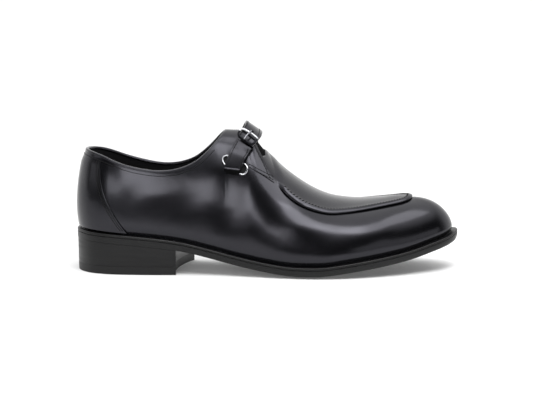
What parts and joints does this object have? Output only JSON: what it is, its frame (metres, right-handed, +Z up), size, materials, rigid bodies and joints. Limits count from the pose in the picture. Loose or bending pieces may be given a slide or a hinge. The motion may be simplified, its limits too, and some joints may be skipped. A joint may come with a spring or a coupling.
{
  "type": "monk strap shoe",
  "caption": "Low black leather monk strap shoe for the right foot, with an apron toe, a buckled strap over the instep, a thin welted sole and a low stacked heel.",
  "frame": {"origin": "on the floor under the middle of the shoe's bounding box", "axes": "+X towards the toe, +Y towards the inner side of the foot, +Z up"},
  "size_m": [0.3008, 0.099, 0.1165],
  "materials": {
    "polished_calf": "polished black calf",
    "lining_leather": "matt black lining leather",
    "waxed_sole_edge": "black waxed leather, satin",
    "heel_rubber": "black rubber, matt",
    "polished_steel": "polished steel"
  },
  "bodies": {
    "root": {"upper": "polished_calf", "heel_counter": "polished_calf", "apron": "polished_calf", "facing_lateral": "polished_calf", "facing_medial": "polished_calf", "strap": "polished_calf", "buckle_tab": "polished_calf", "tongue": "lining_leather", "insole": "lining_leather", "welt": "waxed_sole_edge", "outsole": "waxed_sole_edge", "heel_stack": "waxed_sole_edge", "top_lift": "heel_rubber", "buckle_frame": "polished_steel", "buckle_prong": "polished_steel", "slot_ring": "polished_steel"}
  },
  "joints": []
}
